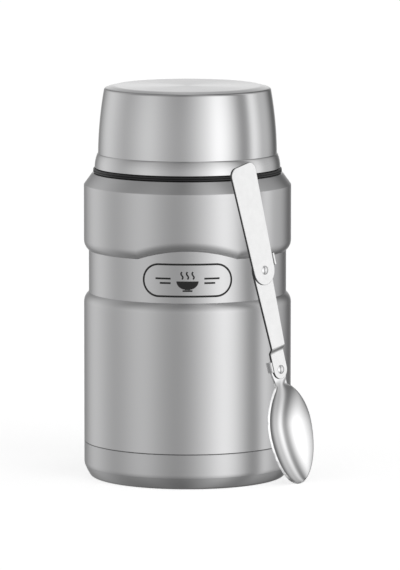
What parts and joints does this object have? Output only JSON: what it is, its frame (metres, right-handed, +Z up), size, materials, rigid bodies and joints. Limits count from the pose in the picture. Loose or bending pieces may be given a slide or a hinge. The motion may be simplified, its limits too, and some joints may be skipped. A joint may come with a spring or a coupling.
{
  "type": "insulated food jar",
  "caption": "Double-walled steel food jar with a screw-on serving bowl over a screw stopper, and a folding spoon leaning on its side.",
  "frame": {"origin": "centre of the flat base that the jar stands on", "axes": "+Z up along the jar's axis, -Y to the front, where the arch over the belt is"},
  "size_m": [0.1133, 0.104, 0.1932],
  "materials": {
    "brushed_steel": "satin, brushed round the body, no lacquer",
    "bowl_steel": "fine satin, shinier than the body",
    "inner_steel": "plain satin",
    "spoon_steel": "polished",
    "rivet_steel": "polished",
    "seal_glass": "fused bead",
    "getter_metal": "dull",
    "copper_foil": "thin bright copper foil",
    "silicone": "soft, translucent grey",
    "black_plastic": "fine spark texture",
    "plug_plastic": "smooth",
    "foam": "rigid insulating foam",
    "black_ring": "smooth"
  },
  "bodies": {
    "flask": {"outer_shell": "brushed_steel", "inner_flask": "inner_steel", "vacuum_base": "inner_steel", "seal_plug": "seal_glass", "getter": "getter_metal", "foil_wrap": "copper_foil", "base_cap": "brushed_steel"},
    "gasket": {"stopper_gasket": "silicone"},
    "stopper": {"stopper_shell": "black_plastic", "stopper_plug": "plug_plastic", "stopper_foam": "foam"},
    "seat_ring": {"lid_seat_ring": "black_ring"},
    "serving_bowl": {"bowl_shell": "bowl_steel", "bowl_liner": "inner_steel", "bowl_thread_ring": "black_plastic"},
    "spoon_bowl": {"spoon_head": "spoon_steel", "lower_rivet": "rivet_steel"},
    "spoon_link": {"spoon_mid_link": "spoon_steel", "upper_rivet": "rivet_steel"},
    "spoon_grip": {"spoon_handle": "spoon_steel"}
  },
  "joints": [
    {"name": "stopper_rise", "type": "slide", "parent": "flask", "child": "gasket", "axis": [0, 0, 1], "range_m": [0, 0.0481]},
    {"name": "stopper_turn", "type": "hinge", "parent": "gasket", "child": "stopper", "pos_m": [0, 0, 0.1665], "axis": [0, 0, 1], "range_deg": [0, 1440]},
    {"name": "bowl_turn", "type": "hinge", "parent": "stopper", "child": "seat_ring", "pos_m": [0, 0, 0.1515], "axis": [0, 0, 1], "range_deg": [0, 1440]},
    {"name": "bowl_rise", "type": "slide", "parent": "seat_ring", "child": "serving_bowl", "axis": [0, 0, 1], "range_m": [0, 0.0481]},
    {"name": "spoon_lift", "type": "slide", "parent": "flask", "child": "spoon_bowl", "axis": [0.5171, -0.4822, 0.7071], "range_m": [0, 0.06]},
    {"name": "spoon_mid_fold", "type": "hinge", "parent": "spoon_bowl", "child": "spoon_link", "pos_m": [0.0443, -0.03406, 0.05718], "axis": [-0.7283, 0.6792, -0.0906], "range_deg": [0, 180]},
    {"name": "spoon_handle_fold", "type": "hinge", "parent": "spoon_link", "child": "spoon_grip", "pos_m": [0.03385, -0.0387, 0.10647], "axis": [0.7283, -0.6792, 0.0906], "range_deg": [0, 180]}
  ],
  "couplings": [
    {"joint": "stopper_rise", "follows": "stopper_turn", "m_per_rad": 0.0019099},
    {"joint": "bowl_rise", "follows": "bowl_turn", "m_per_rad": 0.0019099}
  ]
}
